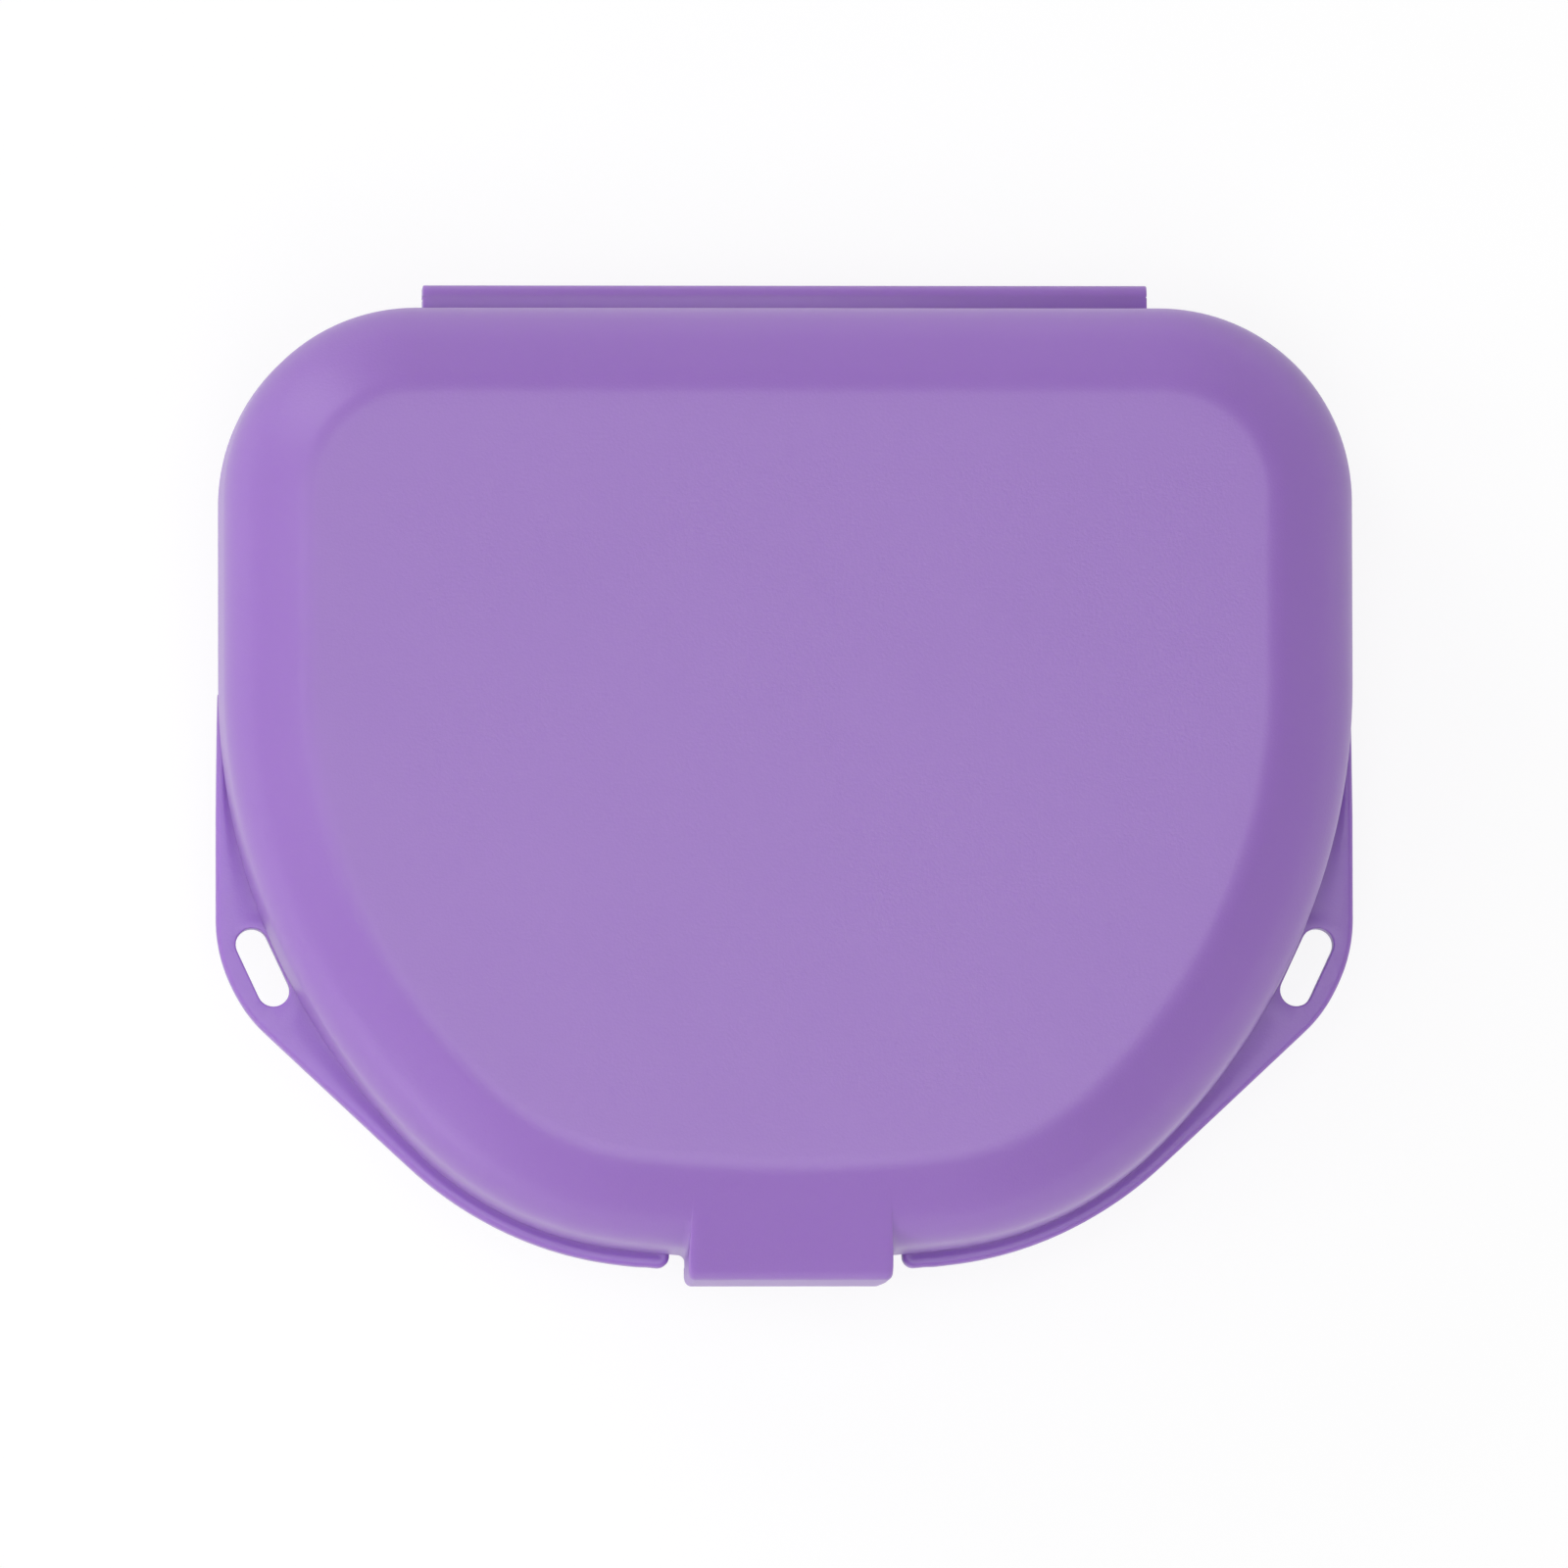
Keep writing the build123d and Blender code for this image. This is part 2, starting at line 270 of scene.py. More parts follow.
def sweepTree(name, sizes, corners, closed):
    tree = bpy.data.node_groups.new(name, "GeometryNodeTree")
    tree.interface.new_socket("Geometry", in_out="INPUT", socket_type="NodeSocketGeometry")
    for label in sizes:
        tree.interface.new_socket(label, in_out="INPUT", socket_type="NodeSocketFloat")
    tree.interface.new_socket("Material", in_out="INPUT", socket_type="NodeSocketMaterial")
    tree.interface.new_socket("Geometry", in_out="OUTPUT", socket_type="NodeSocketGeometry")
    board = Board(tree)
    entry = board.node("NodeGroupInput")
    index = board.node("GeometryNodeInputIndex")
    points = corners({label: entry.output(label) for label in sizes})
    places, radii, steps = {"Index": index}, {"Index": index}, {"Index": index}
    for number, (inset, height, radius, count) in enumerate(points):
        places[number + 1] = board.node("ShaderNodeCombineXYZ", {}, {0: 0 - inset, 1: 0 - height})
        radii[number + 1] = radius
        steps[number + 1] = count
    total = len(points)
    place = board.node("GeometryNodeIndexSwitch", {"data_type": "VECTOR", "items": total}, places)
    radius = board.node("GeometryNodeIndexSwitch", {"data_type": "FLOAT", "items": total}, radii)
    count = board.node("GeometryNodeIndexSwitch", {"data_type": "INT", "items": total}, steps)
    line = board.node("GeometryNodeMeshLine", {}, {"Count": total})
    line = board.node("GeometryNodeSetPosition", {}, {"Geometry": line, "Position": place})
    line = board.node("GeometryNodeMeshToCurve", {}, {"Mesh": line})
    line = board.node("GeometryNodeSetSplineCyclic", {}, {"Geometry": line, "Cyclic": closed})
    section = board.node("GeometryNodeFilletCurve", {"mode": "POLY"}, {
        "Curve": line, "Count": count, "Radius": radius})
    swept = board.node("GeometryNodeCurveToMesh", {}, {"Curve": entry, "Profile Curve": section})
    swept = board.node("GeometryNodeRealizeInstances", {}, {"Geometry": swept})
    swept = board.node("GeometryNodeSetMaterial", {}, {"Geometry": swept, "Material": entry.output("Material")})
    board.node("NodeGroupOutput", {}, {0: swept})
    return tree


def sweep(name, points, sizes, corners, closed):
    base = addCurve(name + "Outline", points)
    tree = sweepTree(name + "Sweep", sizes, corners, closed)
    modifier = base.modifiers.new("sweep", "NODES")
    modifier.node_group = tree
    for item in tree.interface.items_tree:
        if item.in_out == "INPUT" and item.name in sizes:
            modifier[item.identifier] = sizes[item.name]
        if item.in_out == "INPUT" and item.name == "Material":
            modifier[item.identifier] = polypropylene
    mesh = bpy.data.meshes.new_from_object(base.evaluated_get(bpy.context.evaluated_depsgraph_get()))
    base.modifiers.clear()
    bpy.data.objects.remove(base)
    place = np.array([vertex.co for vertex in mesh.vertices]).reshape(len(points), -1, 3)
    bpy.data.meshes.remove(mesh)
    return place


def skin(name, place, closed):  # rings of points to one closed mesh, flat ends capped
    count, total = place.shape[:2]
    work = bmesh.new()
    rows = [[work.verts.new(point) for point in ring] for ring in place]
    for index in range(count):
        near, far = rows[index], rows[(index + 1) % count]
        for step in range(total if closed else total - 1):
            after = (step + 1) % total
            work.faces.new((near[step], near[after], far[after], far[step]))
    if not closed:
        for end in (0, total - 1):
            work.faces.new([ring[end] for ring in rows])
    return finishMesh(name, work)


def finishMesh(name, work, angle=sharpAngle):
    bmesh.ops.remove_doubles(work, verts=work.verts, dist=samePoint)
    bmesh.ops.dissolve_degenerate(work, edges=work.edges, dist=samePoint)
    bmesh.ops.recalc_face_normals(work, faces=work.faces)
    mesh = bpy.data.meshes.new(name)
    work.to_mesh(mesh)
    work.free()
    mesh.polygons.foreach_set("use_smooth", [True] * len(mesh.polygons))
    mesh.set_sharp_from_angle(angle=math.radians(angle))
    mesh.materials.clear()
    mesh.materials.append(polypropylene)
    made = bpy.data.objects.new(name, mesh)
    bpy.context.scene.collection.objects.link(made)
    return made


shellSizes = {
    "Rim": trayHigh.z,
    "Height": lidHigh.z - trayHigh.z,
    "Wall": 0.0015,
    "Draft": math.tan(math.radians(2.5)),
    "Edge Radius": 0.0068,
    "Hollow Radius": 0.0053,
    "Rim Radius": 0.00015,
    "Seat": 0.0007,
    "Rebate": 0.00155,
    "Land": 0.0082,
}
edgeSteps, rimSteps, hollowSteps = 24, 4, 14
edgeEnd = 1 + edgeSteps  # the last point of a section's round edge; the first is the plateau's end
rimEnd = edgeEnd + 1 + rimSteps
pocketInsets = (0.0003, 0.00036, 0.00042, 0.00048)  # rim points that the latch's pocket is drawn from


def lidCorners(s):
    top = s["Rim"] + s["Height"]
    roof = top - s["Wall"]
    ledge = s["Rim"] + s["Rebate"]
    return (
        (s["Land"], top, 0.0, 1),
        (s["Height"] * s["Draft"], top, s["Edge Radius"], edgeSteps),
        (0.0, s["Rim"], s["Rim Radius"], rimSteps),
        *((inset, s["Rim"], 0.0, 1) for inset in pocketInsets),
        (s["Seat"], s["Rim"], 0.0, 1),
        (s["Seat"], ledge, 0.0, 1),
        (s["Wall"] + s["Rebate"] * s["Draft"], ledge, 0.0, 1),
        (s["Wall"] + (s["Height"] - s["Wall"]) * s["Draft"], roof, s["Hollow Radius"], hollowSteps),
        (s["Land"], roof, 0.0, 1),
    )


lidEdgeSizes = {
    "radii": (0.0034, 0.029, 0.0053),
    "turns": (0.0, 28.0, 34.0, 90 - math.degrees(math.atan(shellSizes["Draft"]))),
    "steps": (1, 9, 15, edgeEnd),
}


def lidEdge(tilt, sizes, shell):  # inset from the wall's foot, and height, where the lid's edge has a tilt
    turns = [math.radians(turn) for turn in sizes["turns"]]
    reach, drop, fullReach, fullDrop = 0.0, 0.0, 0.0, 0.0
    for radius, first, last in zip(sizes["radii"], turns, turns[1:]):
        here = min(max(tilt, first), last)
        reach += radius * (math.sin(here) - math.sin(first))
        drop += radius * (math.cos(first) - math.cos(here))
        fullReach += radius * (math.sin(last) - math.sin(first))
        fullDrop += radius * (math.cos(first) - math.cos(last))
    inset = (shell["Height"] - fullDrop) * shell["Draft"] + fullReach - reach
    return inset, shell["Rim"] + shell["Height"] - drop


def reshapeLidEdge(place, sizes, shell, outline):  # one round edge to three arcs; gives the tilt at each point
    inset = place[0][:, 1] - outline["frontY"]
    tilts = np.radians(np.interp(range(edgeEnd + 1), sizes["steps"], sizes["turns"]))
    inward = place[:, 1, :2] - place[:, edgeEnd, :2]
    inward /= np.linalg.norm(inward, axis=1)[:, None]
    for step in range(1, edgeEnd + 1):
        newInset, height = lidEdge(tilts[step], sizes, shell)
        place[:, step, :2] += inward * (newInset - inset[step])
        place[:, step, 2] = height
    return tilts


latchSizes = {
    "halfWidth": 0.007125,
    "face": tabLow.y,
    "slope": 31.0,
    "topRadius": 0.0014,
    "cornerRadius": 0.0005,
    "topCornerRadius": 0.0012,
    "rootRadius": 0.0005,
    "plate": 0.0012,
    "across": (0.0, 0.0015, 0.003, 0.0045),
    "pocketHalf": 0.005825,
    "pocketEdge": 0.00587,
    "pocketTop": 0.0185,
    "pocketGap": 0.0003,
    "cornerSteps": 9,
    "rootSteps": 6,
    "rootDepth": 0.0022,
    "slopeShare": 0.3,
    "softShare": 0.5,
    "neck": 0.0008,
    "neckBottom": tabHigh.z,
    "neckStep": 0.0001,
    "neckSteps": 6,
    "levels": (0.01188, 0.0105, 0.009, 0.0078),
    "tip": tabLow.z,
    "tipRadius": 0.0005,
    "tipLean": 0.4,
    "tipSteps": 6,
    "leastRadius": 0.0002,
    "backRadius": 0.00012,
    "flatSteps": 6,
    "frontSteps": 8,
    "backSteps": 3,
    "hookRoot": 0.0002,
    "hookEdge": 0.00008,
    "hookHalf": 0.005,
    "hookTop": 0.0093,
    "hookLow": 0.0082,
    "hookRamp": 0.0006,
    "hookFace": tabHigh.y,
}


def latchStations(sizes, radius):  # places across the latch, how far each stands out, if the pocket is there
    depth = sizes["rootDepth"]
    stations = [(x, 1.0, True) for x in (*sizes["across"], sizes["pocketHalf"])]
    stations += [(x, 1.0, False) for x in (sizes["pocketHalf"], sizes["pocketEdge"])]
    for step in range(sizes["cornerSteps"] + 1):
        angle = math.radians(90 * (1 - step / sizes["cornerSteps"]))
        x = sizes["halfWidth"] - radius * (1 - math.cos(angle))
        stations.append((x, 1 - radius * (1 - math.sin(angle)) / depth, False))
    for step in range(sizes["rootSteps"] + 1):
        angle = math.radians(90 * (1 - step / sizes["rootSteps"]))
        x = sizes["halfWidth"] + sizes["rootRadius"] * (1 - math.sin(angle))
        stations.append((x, sizes["rootRadius"] * (1 - math.cos(angle)) / depth, False))
    return stations


def slopePoint(x, lean, share, sizes, shell, outline):  # on the root's slope, then on the round top of the face
    angle, slopeShare = math.radians(sizes["slope"]), sizes["slopeShare"]
    rootInset, rootZ = lidEdge(angle, lidEdgeSizes, shell)
    rootY = outline["frontY"] + rootInset
    turn = math.pi / 2 - angle
    pull = sizes["topRadius"] * math.tan(turn / 2)
    if share < slopeShare:
        y = rootY + (sizes["face"] + pull * math.cos(angle) - rootY) * share / slopeShare
        z = rootZ - (rootY - y) * math.tan(angle)
        fade = 1 - share / slopeShare
        slipX = -rootInset * math.sin(lean)
        slipY = (outline["frontRadius"] - rootInset) * (1 - math.cos(lean))
        return x + slipX * fade, y + slipY * fade, z
    bend = angle + turn * (share - slopeShare) / (1 - slopeShare)
    cornerZ = rootZ - (rootY - sizes["face"]) * math.tan(angle)
    y = sizes["face"] + sizes["topRadius"] * (1 - math.sin(bend))
    return x, y, cornerZ - pull + sizes["topRadius"] * math.cos(bend)


def pocketPoint(number, x, wallY, pocket, sizes, shell):  # from the plate's foot over the roof to the wall
    inner, rim = sizes["face"] + sizes["plate"], shell["Rim"]
    top = sizes["pocketTop"] if pocket else rim
    roofY = wallY + (top - rim) * shell["Draft"]
    return ((x, inner, rim), (x, inner, top), (x, roofY, top), (x, wallY, rim))[number]


def addLatchRoot(place, tilts, sizes, shell, outline):
    radius, rim = outline["frontRadius"], shell["Rim"]
    inset, height = place[0][:, 1] - outline["frontY"], place[0][:, 2].copy()
    angle = math.radians(sizes["slope"])
    shares = np.clip((tilts - angle) / (tilts[-1] - angle), 0, 1)
    blend = np.ones(len(inset))
    blend[:edgeEnd + 1] = np.clip(shares / sizes["softShare"], 0, 1)
    stations = latchStations(sizes, sizes["cornerRadius"])
    softStations = latchStations(sizes, sizes["topCornerRadius"])
    for number in range(1 - len(stations), len(stations)):
        faceX, faceWeight, pocket = stations[abs(number)]
        softX, softWeight = softStations[abs(number)][:2]
        xs = softX + (faceX - softX) * blend
        weight = (softWeight + (faceWeight - softWeight) * blend)[:, None]
        leans = np.arcsin(xs / radius)
        wallY = outline["frontY"] + radius - (radius - inset) * np.cos(leans)
        plain = np.stack((xs - inset * np.sin(leans), wallY, height), 1)
        full = plain.copy()
        for step in range(rimEnd + len(pocketInsets) + 1):
            x = xs[step]
            if step > rimEnd:
                full[step] = pocketPoint(
                    step - rimEnd - 1, x, wallY[step] - sizes["pocketGap"], pocket, sizes, shell)
            elif step > edgeEnd:
                full[step] = (x, sizes["face"], rim + shell["Rim Radius"] * (rimEnd - step) / rimSteps)
            elif tilts[step] > angle:
                full[step] = slopePoint(x, leans[step], shares[step], sizes, shell, outline)
        shaped = plain + weight * (full - plain)
        shaped[:, 0] *= -1 if number < 0 else 1
        place[number] = shaped


besideLatch = (0.0081, 0.0088, 0.0096, 0.0106)
lidFront = []
for x, weight, pocket in latchStations(latchSizes, latchSizes["cornerRadius"]):
    lidFront.append(max(x, lidFront[-1] + 10 * samePoint) if lidFront else x)
lidPlace = sweep("lid", outlineLoop(outlineSizes, [*lidFront, *besideLatch]), shellSizes, lidCorners, False)
lidTilts = reshapeLidEdge(lidPlace, lidEdgeSizes, shellSizes, outlineSizes)
addLatchRoot(lidPlace, lidTilts, latchSizes, shellSizes, outlineSizes)
lid = skin("lid", lidPlace, False)
print("lid swept and its latch root drawn out")


def trayCorners(s):
    return (
        (s["Land"], 0.0, 0.0, 1),
        (s["Height"] * s["Draft"], 0.0, s["Edge Radius"], edgeSteps),
        (0.0, s["Rim"], s["Rim Radius"], rimSteps),
        (s["Wall"], s["Rim"], 0.0, 1),
        (s["Wall"] + (s["Height"] - s["Wall"]) * s["Draft"], s["Wall"], s["Hollow Radius"], hollowSteps),
        (s["Land"], s["Wall"], 0.0, 1),
    )


plainFront = (0.0, 0.0015, 0.003, 0.0045, 0.006, 0.0075, 0.009, 0.0105)
plainLoop = outlineLoop(outlineSizes, plainFront)
tray = skin("tray", sweep("tray", plainLoop, shellSizes, trayCorners, False), False)

tongueSizes = {
    "Rim": trayHigh.z,
    "Height": 0.0014,
    "Outer": 0.0008,
    "Inner": 0.0015,
    "Edge": 0.0002,
}
tongueEdgeSteps = 4


def tongueCorners(s):
    return (
        (s["Outer"], s["Rim"], 0.0, 1),
        (s["Outer"], s["Rim"] + s["Height"], s["Edge"], tongueEdgeSteps),
        (s["Inner"], s["Rim"] + s["Height"], s["Edge"], tongueEdgeSteps),
        (s["Inner"], s["Rim"], 0.0, 1),
    )


tongue = skin("tongue", sweep("tongue", plainLoop, tongueSizes, tongueCorners, True), True)
print("tray and tongue swept")


# Latch: neck and tab in one, in rings from the rim down to the tip

def latchRing(sizes, inner, inset, z):
    radius, small = max(sizes["cornerRadius"] - inset, sizes["leastRadius"]), sizes["backRadius"]
    x, y = sizes["halfWidth"] - inset, sizes["face"] + inset
    x -= max(sizes["neckBottom"] - z, 0) * shellSizes["Draft"]
    flat, front, back = sizes["flatSteps"], sizes["frontSteps"], sizes["backSteps"]
    half = []
    for step in range(flat + 1):
        half.append(((x - radius) * step / flat, y))
    for step in range(1, front + 1):
        angle = math.radians(90 * step / front)
        half.append((x - radius + radius * math.sin(angle), y + radius - radius * math.cos(angle)))
    for step in range(back + 1):
        angle = math.radians(90 * step / back)
        half.append((x - small + small * math.cos(angle), inner - small + small * math.sin(angle)))
    for step in range(1, flat + 1):
        half.append(((x - small) * (1 - step / flat), inner))
    ring = half + [(-a, b) for a, b in half[-2:0:-1]]
    return [(a, b, z) for a, b in ring]


def bevelledBlock(profile, halfLength, bevel, endsOnly=False):  # a profile in Y and Z, drawn out along X
    work = bmesh.new()
    ends = [[work.verts.new((side * halfLength, y, z)) for y, z in profile] for side in (-1, 1)]
    work.faces.new(ends[0])
    work.faces.new(ends[1])
    for step in range(len(profile)):
        after = (step + 1) % len(profile)
        work.faces.new((ends[0][step], ends[0][after], ends[1][after], ends[1][step]))
    bmesh.ops.recalc_face_normals(work, faces=work.faces)
    edges = []
    for edge in work.edges:
        first, last = edge.verts
        if not endsOnly or abs(first.co.x - last.co.x) < samePoint:
            edges.append(edge)
    bmesh.ops.bevel(work, geom=edges, offset=bevel, segments=bevelSteps, profile=0.5, affect="EDGES")
    return work


def latchRings(sizes):
    neckInner, inner = sizes["face"] + sizes["neck"], sizes["face"] + sizes["plate"]
    rings = []
    for step in range(sizes["neckSteps"] + 1):
        rings.append(latchRing(sizes, neckInner, 0, shellSizes["Rim"] - sizes["neckStep"] * step))
    for z in sizes["levels"]:
        rings.append(latchRing(sizes, inner, 0, z))
    radius, steps = sizes["tipRadius"], sizes["tipSteps"]
    for step in range(steps + 1):
        angle = math.radians(90 * step / steps)
        inset = radius * (1 - math.cos(angle))
        z = sizes["tip"] + radius * (1 - math.sin(angle))
        rings.append(latchRing(sizes, inner - sizes["tipLean"] * inset, inset, z))
    return rings


def addHook(work, sizes):
    root = sizes["face"] + sizes["plate"] - sizes["hookRoot"]
    profile = (
        (root, sizes["hookTop"]), (sizes["hookFace"], sizes["hookTop"]),
        (sizes["hookFace"], sizes["hookLow"]), (root, sizes["hookLow"] - sizes["hookRamp"]))
    hook = bevelledBlock(profile, sizes["hookHalf"], sizes["hookEdge"])
    mesh = bpy.data.meshes.new("hook")
    hook.to_mesh(mesh)
    hook.free()
    work.from_mesh(mesh)
    bpy.data.meshes.remove(mesh)


def addLatch(sizes):
    work = bmesh.new()
    rows = [[work.verts.new(point) for point in ring] for ring in latchRings(sizes)]
    for near, far in zip(rows, rows[1:]):
        for step in range(len(near)):
            after = (step + 1) % len(near)
            work.faces.new((near[step], near[after], far[after], far[step]))
    work.faces.new(rows[0])
    work.faces.new(rows[-1])
    addHook(work, sizes)
    return finishMesh("latch", work)


latch = addLatch(latchSizes)
print("latch made")


# Hinge: two ledges, two thin films in quarter turns and the strap between them

foldRadius, ledgeRoot = 0.00085, 0.0002
hingeSizes = {
    "halfWidth": strapHigh.x,
    "wallY": trayHigh.y - ledgeRoot,
    "foldY": strapHigh.y - foldRadius,
    "ledge": 0.002,
    "outerRadius": foldRadius,
    "film": 0.00035,
    "filmSteps": 12,
    "strapInner": strapLow.y,
    "strapBottom": strapLow.z,
    "strapChamfer": 0.00015,
    "edge": 0.0001,
}


def addLedge(name, sizes, low, high):
    profile = ((sizes["wallY"], low), (sizes["foldY"], low), (sizes["foldY"], high), (sizes["wallY"], high))
    return finishMesh(name, bevelledBlock(profile, sizes["halfWidth"], sizes["edge"], endsOnly=True))


def addFilm(name, sizes, side):
    rim, steps = shellSizes["Rim"], sizes["filmSteps"]
    centreZ = rim - side * (rim - sizes["strapBottom"])
    outer, inner = [], []
    for step in range(steps + 1):
        angle = math.radians(90 * step / steps)
        for radius, line in ((sizes["outerRadius"], outer), (sizes["outerRadius"] - sizes["film"], inner)):
            line.append((sizes["foldY"] + radius * math.sin(angle), centreZ - side * radius * math.cos(angle)))
    profile = outer + inner[::-1]
    return finishMesh(name, bevelledBlock(profile, sizes["halfWidth"], sizes["edge"], endsOnly=True))


trayLedge = addLedge("trayLedge", hingeSizes, shellSizes["Rim"] - hingeSizes["ledge"], shellSizes["Rim"])
lidLedge = addLedge("lidLedge", hingeSizes, shellSizes["Rim"], shellSizes["Rim"] + hingeSizes["ledge"])
lowerFilm = addFilm("lowerFilm", hingeSizes, 1)
upperFilm = addFilm("upperFilm", hingeSizes, -1)
strapInner, strapOuter = hingeSizes["strapInner"], hingeSizes["foldY"] + hingeSizes["outerRadius"]
strapBottom, strapTop = hingeSizes["strapBottom"], 2 * shellSizes["Rim"] - hingeSizes["strapBottom"]
chamfer = hingeSizes["strapChamfer"]
strapProfile = (
    (strapInner + chamfer, strapBottom),
    (strapOuter, strapBottom),
    (strapOuter, strapTop),
    (strapInner + chamfer, strapTop),
    (strapInner, strapTop - chamfer),
    (strapInner, strapBottom + chamfer),
)
strap = finishMesh(
    "strap", bevelledBlock(strapProfile, hingeSizes["halfWidth"], hingeSizes["edge"], endsOnly=True))
print("hinge made")


# Flanges: a strip from the notch by the latch round to the side, wider at the ear, where the cord slot is

flangeLow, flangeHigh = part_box("right_lanyard_flange")
flangeSizes = {
    "width": 0.00097,
    "earX": flangeHigh.x,
    "earRadius": 0.0105,
    "notchX": flangeLow.x,
    "endRadius": 0.0008,
    "top": flangeHigh.z,
    "bottom": flangeLow.z,
    "edge": 0.00035,
    "lowEdge": 0.00025,
    "lip": 0.00026,
    "lipShare": 0.25,
    "slope": (0.00035, 0.002),
    "depth": 0.0001,
    "sideRun": 0.009,
    "rootDepth": 0.0001,
    "swell": 0.00013,
    "swellFrom": (0.0135, 0.0175, 0.025, 0.031),
    "padPast": 0.0006,
    "padBelow": 0.00045,
    "padSlope": 0.001,
    "slotLength": 0.0058,
    "slotWidth": 0.00226,
    "slotToWall": 0.0001,
    "slotAngle": 25.0,
    "slotEdge": 0.00012,
    "endSteps": 14,
    "frontSteps": 4,
    "cornerSteps": 26,
    "runSteps": 24,
    "rampSteps": 7,
    "earSteps": 28,
    "earEnd": 85.5,
    "sideSteps": 33,
    "taper": 0.6,
    "swellFade": 0.6,
    "edgeSteps": 6,
    "slopeSteps": 8,
    "rootSteps": 3,
    "slotSteps": 16,
    "slotEdgeSteps": 4,
    "sharpAngle": 40.0,
}


def wallPoint(point, inward):  # where a line from a point meets the case's wall
    line = np.array(plainLoop)
    run = np.roll(line, -1, axis=0) - line
    gap = line - point
    cross = inward[0] * run[:, 1] - inward[1] * run[:, 0]
    cross[np.abs(cross) < nearZero] = nearZero
    reach = (gap[:, 0] * run[:, 1] - gap[:, 1] * run[:, 0]) / cross
    share = (gap[:, 0] * inward[1] - gap[:, 1] * inward[0]) / cross
    slack, behind = 0.001, -0.0001
    reach = reach[(share > -slack) & (share < 1 + slack) & (reach > behind)]
    return point + inward * reach.min()


def lineDistance(points, line):
    run = line[1:] - line[:-1]
    gap = points[:, None, :] - line[None, :-1, :]
    share = np.clip((gap * run).sum(2) / np.maximum((run * run).sum(1), nearZero), 0, 1)
    return np.sqrt(((gap - share[:, :, None] * run) ** 2).sum(2)).min(1)


def smoothRamp(value):
    value = np.clip(value, 0, 1)
    return value * value * (3 - 2 * value)


def notchStations(sizes, outline, front):  # round the flange's end beside the latch
    frontReach = outline["frontRadius"] + sizes["width"]
    centre = np.array((sizes["notchX"] + sizes["endRadius"], 0.0))
    lean = math.asin(centre[0] / (frontReach - sizes["endRadius"]))
    centre[1] = front[1] - (frontReach - sizes["endRadius"]) * math.cos(lean)
    stations, steps = [], sizes["endSteps"]
    for step in range(steps + 1):
        angle = math.radians(-90) + (lean + math.radians(90)) * step / steps
        outer = centre + sizes["endRadius"] * np.array((math.sin(angle), -math.cos(angle)))
        x = sizes["notchX"] + (math.sin(lean) * outline["frontRadius"] - sizes["notchX"]) * step / steps
        wall = np.array((x, front[1] - math.sqrt(outline["frontRadius"] ** 2 - x * x)))
        stations.append((outer, wall))
    return stations, lean


def swellStations(stations, sizes):  # the outer line a little further out between the front and the ear
    begin, full, fall, last = sizes["swellFrom"]
    for number, (point, wall) in enumerate(stations):
        if number > sizes["endSteps"] + 1:
            gap = point - wall
            fade = 1 - sizes["swellFade"] * smoothRamp((-point[1] - fall) / (last - fall))
            rise = smoothRamp((-point[1] - begin) / (full - begin)) * fade
            moved = point + sizes["swell"] * rise * gap / max(math.hypot(*gap), nearZero)
            stations[number] = (moved, wall)


def flangeStations(sizes, outline):  # outer points with the wall's points behind them, and the ear's flat pad
    front, corner, side = outlineArcs(outline)[:3]
    stations, lean = notchStations(sizes, outline, front)
    width = sizes["width"]
    frontTurn, turn = math.radians(outline["frontTurn"]), math.radians(outline["cornerTurn"])
    for middle, radius, first, last, count in (
        (front, outline["frontRadius"] + width, lean, frontTurn, sizes["frontSteps"]),
        (corner, outline["cornerRadius"] + width, frontTurn, turn, sizes["cornerSteps"]),
    ):
        for step in range(1, count + 1):
            angle = first + (last - first) * step / count
            away = np.array((math.sin(angle), -math.cos(angle)))
            point = middle + radius * away
            stations.append((point, wallPoint(point, -away)))
    away = np.array((math.sin(turn), -math.cos(turn)))
    along = np.array((math.cos(turn), math.sin(turn)))
    runStart, earRadius = stations[-1][0], sizes["earRadius"]
    length = (sizes["earX"] - earRadius + earRadius * away[0] - runStart[0]) / along[0]
    earCentre = runStart + length * along - earRadius * away
    padStart, padSlope = length - sizes["padPast"], sizes["padSlope"]
    for reach in np.concatenate((
        np.linspace(0, padStart - padSlope, sizes["runSteps"] + 1)[1:],
        np.linspace(padStart - padSlope, padStart, sizes["rampSteps"] + 1)[1:],
        (length - sizes["padPast"] / 2, length),
    )):
        point = runStart + reach * along
        stations.append((point, wallPoint(point, -away)))
    padFirst = len(stations) - 3  # the station at padStart
    for step in range(1, sizes["earSteps"] + 1):
        angle = turn + (math.radians(sizes["earEnd"]) - turn) * step / sizes["earSteps"]
        away = np.array((math.sin(angle), -math.cos(angle)))
        point = earCentre + earRadius * away
        stations.append((point, wallPoint(point, -away)))
    padLast = len(stations)
    padTop, end = earCentre[1] - sizes["padBelow"], side[1]
    for y in np.concatenate((
        np.linspace(padTop, padTop + padSlope, sizes["rampSteps"] + 1),
        np.linspace(padTop + padSlope, end, sizes["sideSteps"] + 1)[1:-1],
    )):
        if y < earCentre[1]:
            x = earCentre[0] + math.sqrt(earRadius ** 2 - (y - earCentre[1]) ** 2)
        else:
            reach = min((end - y) / sizes["sideRun"], 1) ** sizes["taper"]
            x = outline["halfWidth"] + (sizes["earX"] - outline["halfWidth"]) * reach
        point = np.array((x, y))
        stations.append((point, wallPoint(point, np.array((-1.0, 0.0)))))
    swellStations(stations, sizes)
    return stations, padFirst, padLast, (runStart + padStart * along, along, padTop)


